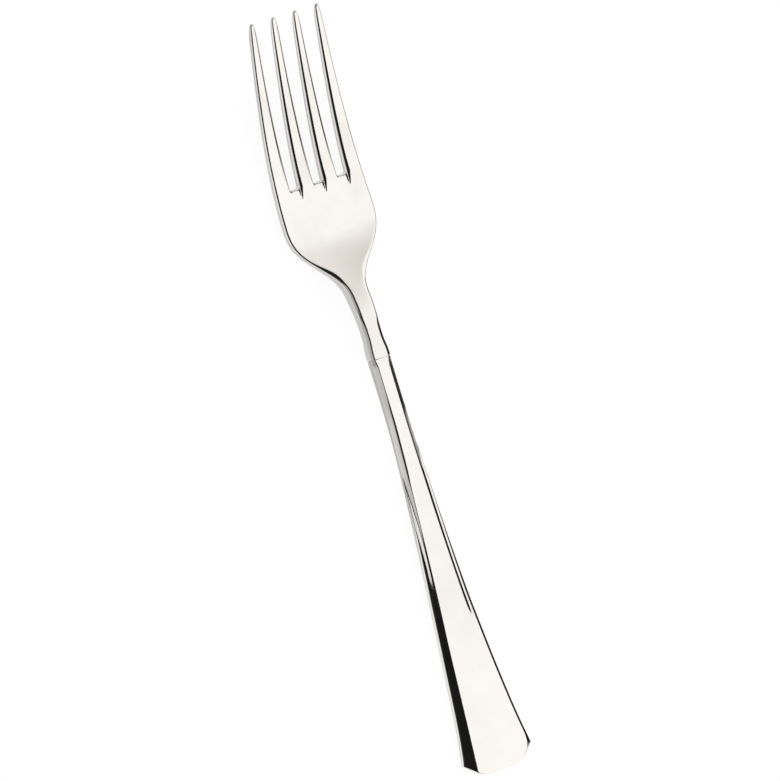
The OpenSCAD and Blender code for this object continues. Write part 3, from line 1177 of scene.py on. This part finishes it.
    def rim_drop(self, x: Array, y: Array) -> Array:
        """Fall of the outer edge: a facet, steep at the neck and shallow on the palm, then a tight round.

        Args:
            x: place across the fork.
            y: place along the fork.

        Returns:
            The fall.
        """
        e = self.half_w(y) - np.abs(x)
        from_joint = y - self.line.joint_y
        from_shoulder = y - self.line.shoulder_y
        shift = self.rim_grows.at(from_shoulder)
        slim = np.where(x < 0.0, self.left_slim, self.right_slim)
        neck = self.neck_edge_w * mix(1.0, slim, self.slims.at(from_joint))
        bulge = self.bulge_w * bell(from_shoulder - self.bulge_at, self.bulge_l)
        wide = (mix(neck, self.rim_edge_w, shift) + bulge) * mix(1.0, self.tip_edge, self.tine_share(y))
        slope = mix(self.neck_slope, self.rim_slope, shift)
        soft = mix(mix(self.lip_soft, self.neck_soft, self.softens.at(from_joint)), self.rim_soft, shift)
        return slope * ramp(wide - e, soft) + roll(e, self.rim_r * mix(self.neck_round, 1.0, shift))

    def slot_drop(self, e: Array, y: Array, run: float) -> Array:
        """Fall of the edges along the slots: a facet that runs out into the palm, and a tight round.

        Args:
            e: distance from the slot's wall.
            y: place along the fork.
            run: length of the run-out. The facet of a long one is broader by the root.

        Returns:
            The fall.
        """
        past = y - self.line.root_y
        grown = np.clip(past / run + 1.0, 0.0, 1.0)
        broader = 1.0 + self.root_broad * run / self.ramp_l * bell(past, self.root_broad_l)
        wide = self.slot_edge_w * mix(1.0, self.tip_facet, self.tine_share(y) ** 2) * broader
        facet = self.slot_slope * ramp(wide * grown**self.run_power - e, self.slot_soft)
        return np.minimum(1.0, self.run_fade * grown) * facet + grown * roll(e, self.top_r)

    def tine_columns(self, k: int, y: Array) -> tuple[Array, ...]:
        """A tine's columns, from its wall over the rounded edge and the facet to its middle and back.

        Args:
            k: the tine's number.
            y: stations along the head.

        Returns:
            x, y, top height, low height, edge measure, and the painted shade of each sheet.
        """
        offsets = np.concatenate([[0.0], self.top_r * round_steps(5),
                                  [0.35, 0.5, 0.6, 0.7, 0.8, 0.9, 1.0, 1.15, 1.35]])
        left = self.wall(k, y)
        right = self.right_wall(k, y)
        held = offsets[None, :] * np.minimum(1.0, self.edge_share * (right - left) / offsets[-1])
        middle = mix(left + held[:, -1:], right - held[:, -1:], np.linspace(0.0, 1.0, 6)[None, 1:-1])
        x = np.concatenate([left + held, middle, right - held[:, ::-1]], axis=1)
        e_rim = self.half_w(y) - np.abs(x)
        drop = self.rim_drop(x, y)
        lift = roll(e_rim, mix(self.neck_rear_r, self.palm_rear_r, self.broad(y)))
        edge = np.exp(-e_rim / EDGE_FADE)
        sides = ((0, k == 0, x - left, self.ramp_l), (-1, k == self.tine_n - 1, right - x, self.hook_l))
        for _, outer, e, run in sides:
            if not outer:
                drop = drop + self.slot_drop(e, y, run)
                lift = lift + self.opening(y) * roll(e, self.slot_rear_r)
                edge = np.maximum(edge, self.opening(y) * np.exp(-e / EDGE_FADE))
        high = self.top_level(x, y) - drop
        deep = self.low_level(x, y) + lift
        for column, outer, _, _ in sides:
            walled = self.is_open(y[:, 0]) | outer
            between = (high[:, column] + deep[:, column]) / 2.0
            for level in (high, deep):
                level[:, column] = np.where(walled, between, level[:, column])
        slim = self.point(y)
        x = mix((left + right) / 2.0, x, mix(self.point_w, 1.0, slim))
        mean = (high + deep) / 2.0
        high, deep = (mix(mean, level, mix(self.point_t, 1.0, slim)) for level in (high, deep))
        # Painted shade, from none on the face to its most down the walls and on the back.
        past = self.shade_fades.at(y - self.line.root_y)
        face = self.top_level(x, y)
        full = mix(self.root_shade_d, self.tip_shade * (face - self.low_level(x, y)), past)
        most = mix(self.root_dark, self.tip_dark, past)
        painted_shade = [np.minimum((face - level) / full, most) for level in (high, deep)]
        return x, y + np.zeros_like(x), high, deep, edge, *painted_shade

    def slot_columns(self, k: int, y: Array) -> tuple[Array, ...]:
        """The columns between two tines: the palm, and the ramp that leads into the slot.

        The ramp is a groove that grows along the fork and is deepest by its right side, where the next
        tine's facet runs out in a point. The slot's end is bowed towards the palm.

        Args:
            k: the number of the tine on the left.
            y: stations along the head.

        Returns:
            The same measures as for a tine.
        """
        left = self.right_wall(k, y)
        right = self.wall(k + 1, y)
        share = np.concatenate([[-0.95, -0.88], np.linspace(-0.8, 0.8, 9), [0.88, 0.95]])[None, :]
        tilt = (share + 1.0) / 2.0
        x = mix(left, right, tilt)
        near = bell(self.line.root_y - y, self.slot_bow_l) * ~self.is_open(y)
        along = y - self.slot_bow * (1.0 - share**2) * near
        sides = ease((x - left) / self.ramp_left_l) * ease((right - x) / self.ramp_right_l)
        grown = np.clip((y - self.apex_y) / self.ramp_l, 0.0, 1.0)
        end = roll(np.maximum(self.line.root_y - y, 0.0), self.ramp_end_r)
        groove = (self.ramp_d * grown * tilt + end) * sides
        wall = np.zeros_like(y)
        lowered = mix(self.slot_drop(wall, y, self.hook_l), self.slot_drop(wall, y, self.ramp_l), tilt)
        high = self.top_level(x, along) - self.rim_drop(x, y) - lowered - groove
        deep = self.low_level(x, along) + self.opening(y) * self.slot_rear_r
        edge = self.slot_edge * self.opening(y) + np.zeros_like(x)
        # No painted shade on the top sheet, full painted shade on the low sheet.
        return x, along, high, deep, edge, np.zeros_like(x), np.ones_like(x)

    def grids(self) -> tuple[Array, Array, Array, Array, list[Array]]:
        """Both faces of the head beyond the joint, on one grid.

        Each slot has columns of its own, which are solid only in the palm.

        Returns:
            The top sheet, the low sheet, the edge measure, which columns start a slot's cells, and the
            painted shade of each place of the two sheets.
        """
        y = self.rows()[:, None]
        parts: list[tuple[Array, ...]] = []
        starts: list[Array] = []
        count = 0
        for k in range(self.tine_n):
            parts.append(self.tine_columns(k, y))
            count += parts[-1][0].shape[1]
            if k < self.tine_n - 1:
                parts.append(self.slot_columns(k, y))
                wide = parts[-1][0].shape[1]
                starts.append(np.arange(count - 1, count + wide))
                count += wide
        x, along, high, deep, edge, *painted_shade = (np.concatenate(p, axis=1) for p in zip(*parts))
        tuck = roll(np.maximum(y - self.line.joint_y, 0.0), TUCK_R)
        x = x * (1.0 - tuck / self.half_w(y))
        top = np.stack([x, along, high - tuck], axis=-1)
        low = np.stack([x, along, deep + tuck], axis=-1)
        return top, low, edge, np.concatenate(starts), painted_shade

    def skin(self) -> Skin:
        """The whole head as one closed skin, tang included.

        Returns:
            The closed skin.
        """
        top, low, edge, slots, painted_shade = self.grids()
        joint = self.line.joint_y
        y = np.linspace(joint - self.tang_l, joint, 12)[:, None]
        across = np.linspace(-1.0, 1.0, top.shape[1])[None, :]
        half = mix(self.tang_w, self.tang_end_w, (joint - y) / self.tang_l) / 2.0
        mid = self.line.front(y) - self.handle_t / 2.0 + 0.0 * across
        flat = [across * half, y + 0.0 * across]
        tang_top = np.stack([*flat, mid + self.tang_t / 2.0], axis=-1)
        tang_low = np.stack([*flat, mid - self.tang_t / 2.0], axis=-1)
        cells = np.ones((len(y) + top.shape[0] - 1, top.shape[1] - 1), bool)
        first_open = len(y) + int(np.sum(~self.is_open(self.rows()))) - 1
        cells[first_open:, slots] = False
        blank = np.zeros((len(y), top.shape[1]))
        # The tang gets no painted shade on top and full painted shade below.
        painted_shade_level = (np.concatenate([blank, painted_shade[0]]), np.concatenate([blank + 1.0, painted_shade[1]]))
        return sandwich(np.concatenate([tang_top, top]), np.concatenate([tang_low, low]),
                        np.concatenate([blank, edge]), painted_shade_level, cells)


@dataclass(frozen=True)
class JointRing:
    """The braze between the head's lip and the handle's mouth, round the tang."""

    line: SideLine
    thick: float = 0.2
    half_w: float = 2.96
    half_h: float = 2.1
    tang_w: float = 3.26
    tang_t: float = 2.06
    handle_t: float = 4.4
    front_square: float = 3.2
    tang_square: float = 9.0
    # Painted shade on the ring, and where round the ring it grows.
    shade: float = 0.75
    shade_grows: Stretch = Stretch(0.7, 0.1)

    def skin(self) -> Skin:
        """A flat ring: an outline with soft corners outside, and the tang's rectangle inside.

        Returns:
            The closed skin.
        """
        angle = np.linspace(0.0, 2.0 * math.pi, 97)[:-1]
        c = np.cos(angle)
        s = np.sin(angle)

        def loop(wide: float, high: float, power: Array | float) -> Array:
            """A round that a power below 1 makes squarer."""
            return np.stack([wide * np.sign(c) * np.abs(c) ** power,
                             high * np.sign(s) * np.abs(s) ** power], axis=1)

        outer = loop(self.half_w, self.half_h, np.where(s > 0.0, 2.0 / self.front_square, 1.0))
        inner = loop(self.tang_w / 2.0, self.tang_t / 2.0, 2.0 / self.tang_square)
        near = self.line.joint_y - self.thick
        far = self.line.joint_y
        mid = float(self.line.front(np.array(far))) - self.handle_t / 2.0
        corners = ((inner, near), (inner, far), (outer, far), (outer, near))
        ring = [np.stack([p[:, 0], np.full(len(p), y), mid + p[:, 1]], axis=1) for p, y in corners]
        # Painted shade, strongest on the ring's sides.
        painted_shade_level = self.shade * self.shade_grows.at(np.abs(c))
        return tube(np.stack(ring, axis=1), closed=True, painted_shade=painted_shade_level)


# The studio


@dataclass(frozen=True)
class Studio:
    """Floor, surroundings and camera of a plain product shot.

    Spans are in degrees from overhead: card_left, card_right and tint_ends across the fork to its right,
    and the others along it towards the tines.
    """

    camera_from: float = 1.4
    across_deg: float = 19.0
    along_deg: float = -5.47
    slant_deg: float = 17.406
    nudge_px: tuple[float, float] = (2.29, 4.47)
    focal_px: float = 4796.0
    sensor_w: float = 36.0
    nearest: float = 0.05
    farthest: float = 20.0
    target: Colour = (0.0, 0.0005, 0.006)
    floor_half: float = 4.0
    floor_paint: Colour = (0.95, 0.95, 0.945)
    floor_glow: float = 1.03
    glow_seen: float = 0.86
    glow_mirrored: float = 0.6
    strength: float = 1.05
    white: Colour = (1.0, 1.0, 1.0)
    end_grey: Colour = (0.82, 0.82, 0.82)
    card_black: Colour = (0.02, 0.02, 0.02)
    daylight: Colour = (1.0, 0.988, 0.972)
    warm_grey: Colour = (0.63, 0.595, 0.54)
    palm_from: Span = (2.0, 16.0)
    tines_from: Span = (-26.0, -12.0)
    tips_from: Span = (-52.0, -45.0)
    ahead_from: Span = (36.0, 41.0)
    behind_from: Span = (-64.0, -58.0)
    card_near: Span = (42.0, 46.0)
    card_far: Span = (62.0, 66.0)
    card_left: Span = (7.2, 14.4)
    card_right: Span = (36.0, 46.8)
    tint_grows: Span = (1.0, 46.0)
    tint_ends: Span = (16.0, 40.0)

    def floor(self) -> None:
        """A wide white floor, faintly shaded where the fork keeps light off it."""
        mesh = bpy.data.meshes.new("floor")
        s = self.floor_half
        mesh.from_pydata([(-s, -s, 0.0), (s, -s, 0.0), (s, s, 0.0), (-s, s, 0.0)], [], [(0, 1, 2, 3)])
        made, nodes = new_material("white_floor")
        path = nodes.add("ShaderNodeLightPath")
        mirrored = nodes.maths("MAXIMUM", path.outputs["Is Glossy Ray"], path.outputs["Is Transmission Ray"])
        paint = nodes.add("ShaderNodeBsdfDiffuse", {"Color": solid(self.floor_paint)})
        glow = nodes.add("ShaderNodeEmission", {"Color": solid(self.white), "Strength": self.floor_glow})
        direct = nodes.maths("MULTIPLY", path.outputs["Is Camera Ray"], self.glow_seen)
        share = nodes.maths("MULTIPLY_ADD", mirrored, self.glow_mirrored, direct)
        both = nodes.add("ShaderNodeMixShader", {0: share, 1: paint.outputs[0], 2: glow.outputs[0]})
        nodes.add("ShaderNodeOutputMaterial", {"Surface": both.outputs[0]})
        mesh.materials.append(made)
        plane = bpy.data.objects.new("floor", mesh)
        bpy.context.scene.collection.objects.link(plane)

    def surroundings(self) -> None:
        """White panels to the right and low on the left, dark overhead where the camera stands."""
        world = bpy.data.worlds.new("studio")
        world.use_nodes = True
        nodes = Nodes(world.node_tree)
        place = nodes.add("ShaderNodeTexCoord").outputs["Generated"]
        part = nodes.add("ShaderNodeSeparateXYZ", {0: place})
        turned = nodes.maths("ARCTAN2", part.outputs["X"], part.outputs["Z"])
        ring = nodes.maths("MULTIPLY_ADD", turned, 0.5 / math.pi, 0.5)
        across = nodes.maths("MULTIPLY", turned, 180.0 / math.pi)
        along = nodes.maths("MULTIPLY", nodes.maths("ARCSINE", part.outputs["Y"]), 180.0 / math.pi)

        def lights(*stops: Span) -> bpy.types.NodeSocket:
            """Grey levels across the fork, each at its degrees right of overhead."""
            return nodes.ramp(ring, [(deg / 360.0 + 0.5, level) for deg, level in stops])

        handle = lights(
            (-110.0, 0.8), (-62.0, 0.75), (-52.0, 0.66), (-44.0, 0.54), (-40.0, 0.28), (-36.0, 0.012),
            (8.5, 0.008), (11.0, 1.0), (56.0, 1.0), (61.0, 0.05), (64.0, 0.012), (83.5, 0.012),
            (90.0, 0.45), (98.0, 0.8))
        palm = lights(
            (-110.0, 0.8), (-60.0, 0.62), (-40.0, 0.5), (-24.0, 0.35), (-15.0, 0.02), (8.0, 0.015),
            (11.0, 0.9), (14.0, 1.0), (56.0, 1.0), (62.0, 0.1), (92.0, 0.05), (98.0, 0.8))
        tines = lights(
            (-110.0, 0.7), (-70.0, 0.4), (-50.0, 0.1), (-38.0, 0.012), (8.0, 0.012), (11.0, 1.0),
            (44.5, 1.0), (47.0, 0.02), (60.0, 0.02), (66.0, 0.8))
        tips = lights(
            (-110.0, 0.7), (-60.0, 0.5), (-38.0, 0.1), (-30.0, 0.012), (8.0, 0.012), (11.0, 1.0),
            (110.0, 0.95))
        level = nodes.blend(nodes.span(along, *self.palm_from), handle, palm)
        level = nodes.blend(nodes.drop(along, *self.tines_from), level, tines)
        level = nodes.blend(nodes.drop(along, *self.tips_from), level, tips)
        ahead = nodes.span(along, *self.ahead_from)
        ends = nodes.maths("MAXIMUM", ahead, nodes.drop(along, *self.behind_from))
        level = nodes.blend(ends, level, solid(self.end_grey))
        card = nodes.span(along, *self.card_near)
        for side in (nodes.drop(along, *self.card_far), nodes.span(across, *self.card_left),
                     nodes.drop(across, *self.card_right)):
            card = nodes.maths("MULTIPLY", card, side)
        level = nodes.blend(card, level, solid(self.card_black))
        right = nodes.drop(across, *self.tint_ends)
        fall = nodes.maths("MULTIPLY", nodes.span(along, *self.tint_grows), right)
        tint = nodes.blend(fall, solid(self.daylight), solid(self.warm_grey))
        seen = nodes.blend(1.0, level, tint, "MULTIPLY")
        path = nodes.add("ShaderNodeLightPath")
        plain = nodes.maths("MAXIMUM", path.outputs["Is Camera Ray"], path.outputs["Is Diffuse Ray"])
        shown = nodes.blend(plain, seen, solid(self.white))
        back = nodes.add("ShaderNodeBackground", {"Color": shown, "Strength": self.strength})
        nodes.add("ShaderNodeOutputWorld", {"Surface": back.outputs[0]})
        bpy.context.scene.world = world

    def camera(self) -> None:
        """The camera of the photograph: above and to the left, with the fork slanting across the frame."""
        phi = math.radians(self.across_deg)
        lean = math.radians(self.along_deg)
        right = Vector((math.cos(phi), 0.0, math.sin(phi)))
        level = Vector((0.0, 1.0, 0.0))
        off = Vector((-math.sin(phi), 0.0, math.cos(phi)))
        up = level * math.cos(lean) + off * math.sin(lean)
        back = off * math.cos(lean) - level * math.sin(lean)
        slant = math.radians(self.slant_deg)
        image_x = right * math.cos(slant) - up * math.sin(slant)
        image_y = right * math.sin(slant) + up * math.cos(slant)
        data = bpy.data.cameras.new("camera")
        data.sensor_fit = "HORIZONTAL"
        data.sensor_width = self.sensor_w
        data.lens = self.focal_px / IMAGE_W * self.sensor_w
        data.clip_start = self.nearest
        data.clip_end = self.farthest
        eye = bpy.data.objects.new("camera", data)
        pixel = self.camera_from / self.focal_px
        place = Vector(self.target) + back * self.camera_from
        place += image_x * self.nudge_px[0] * pixel + image_y * self.nudge_px[1] * pixel
        turn = Matrix((image_x, image_y, back)).transposed()
        eye.matrix_world = Matrix.Translation(place) @ turn.to_4x4()
        bpy.context.scene.collection.objects.link(eye)
        bpy.context.scene.camera = eye


def main() -> None:
    """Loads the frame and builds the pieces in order."""
    logging.basicConfig(level=logging.INFO, format="%(name)s: %(message)s")
    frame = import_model()
    bpy.context.scene.view_settings.view_transform = "Standard"
    studio = Studio()
    studio.camera()
    studio.surroundings()
    studio.floor()
    marks = polish_group()
    steel = HEAD_STEEL.material(marks)
    sheet = SHELL_STEEL.material(marks)
    braze = BRAZE.material(marks)
    line = SideLine()
    handle = Handle(line)
    for name, skin, slot, node, finish in (
        ("head", Head(line).skin(), Slot.HEAD, "fork_head", steel),
        ("front_shell", handle.shell(Side.FRONT), Slot.SHELL, "handle_front_shell", sheet),
        ("back_shell", handle.shell(Side.BACK), Slot.SHELL, "handle_back_shell", sheet),
        ("seam_bead", handle.seam_line(), Slot.BRAZE, "seam_braze", braze),
        ("joint_ring", JointRing(line).skin(), Slot.BRAZE, "joint_braze", braze),
    ):
        make_piece(name, skin, line.tip_y, node, finish)
    filler = frame["nodes"]["handle_filler"]
    filler.data.materials.clear()
    filler.data.materials.append(FILLER.material())
    LOG.info("handle_filler keeps its solid")


if __name__ == "__main__":
    main()
